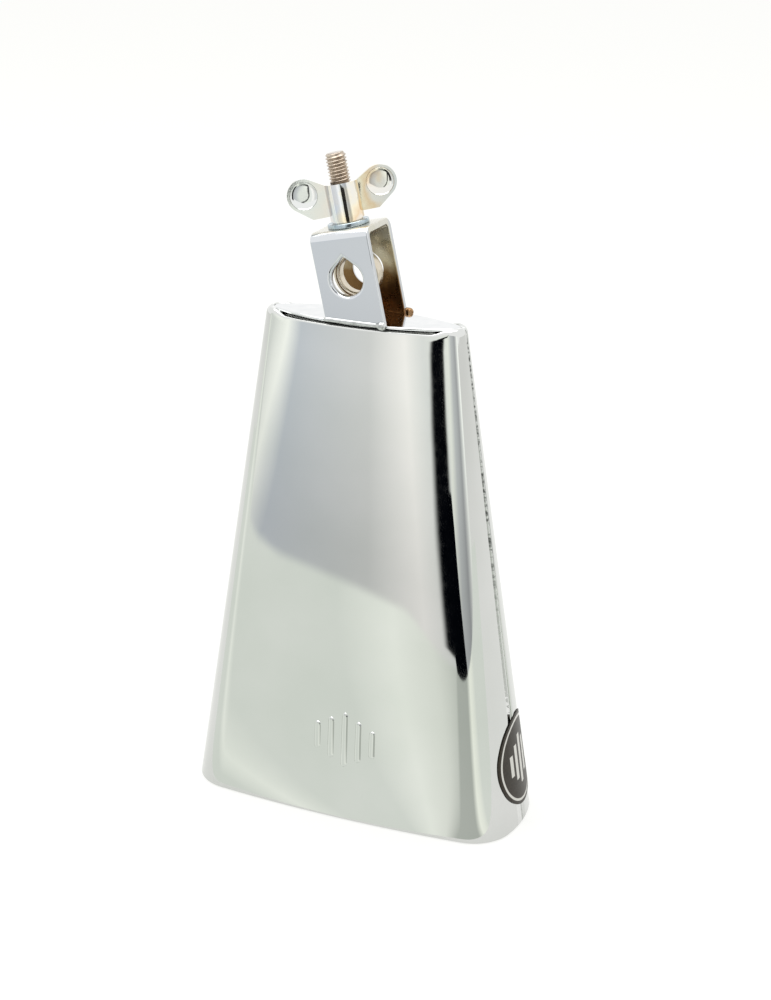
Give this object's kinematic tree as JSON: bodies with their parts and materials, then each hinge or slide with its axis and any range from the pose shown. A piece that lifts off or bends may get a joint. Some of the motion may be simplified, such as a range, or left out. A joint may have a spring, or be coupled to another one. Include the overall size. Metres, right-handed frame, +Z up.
{
  "type": "mounted cowbell",
  "caption": "Tapered chromed steel bell with a flat oval mouth, a leaning strap bracket with teardrop rod holes, and an eye bolt drawn up by a wing nut.",
  "frame": {"origin": "centre of the mouth's rim plane", "axes": "+Z up from the mouth to the bracket, +X along the mouth's long side to the badge, +Y to the rear"},
  "size_m": [0.143, 0.0578, 0.2671],
  "materials": {
    "chromed_shell": "bright chrome on polished pressed sheet",
    "seam_bead": "plated weld bead, slightly dull",
    "braze": "dull plated braze line",
    "chromed_plate": "bright chrome",
    "chromed_bracket": "bright chrome, coppery where the plating is thin inside",
    "bracket_bead": "plated weld bead",
    "plated_bolt": "bronze-tinted plated thread",
    "zinc_washer": "blue-white zinc",
    "nickel_nut": "polished nickel over a casting",
    "badge_foil": "dark printed foil with a plain ring"
  },
  "bodies": {
    "bell": {"front_shell": "chromed_shell", "rear_shell": "chromed_shell", "left_seam_weld": "seam_bead", "right_seam_weld": "seam_bead", "plate_braze": "braze", "top_plate": "chromed_plate", "mount_bracket": "chromed_bracket", "front_bracket_weld": "bracket_bead", "rear_bracket_weld": "bracket_bead", "side_badge": "badge_foil"},
    "eye_bolt": {"eye_bolt": "plated_bolt"},
    "washer": {"washer": "zinc_washer"},
    "wing_nut": {"wing_nut": "nickel_nut"}
  },
  "joints": [
    {"name": "wing_nut_turn", "type": "hinge", "parent": "bell", "child": "wing_nut", "pos_m": [-0.00897, 0, 0.24833], "axis": [-0.213, 0, 0.977], "range_deg": [-1440, 1440]},
    {"name": "eye_bolt_lift", "type": "slide", "parent": "bell", "child": "eye_bolt", "axis": [-0.213, 0, 0.977], "range_m": [-0.005, 0.005]},
    {"name": "washer_turn", "type": "hinge", "parent": "bell", "child": "washer", "pos_m": [-0.00721, 0, 0.24027], "axis": [-0.213, 0, 0.977], "continuous": true}
  ],
  "couplings": [
    {"joint": "eye_bolt_lift", "follows": "wing_nut_turn", "m_per_rad": -0.00019894}
  ]
}
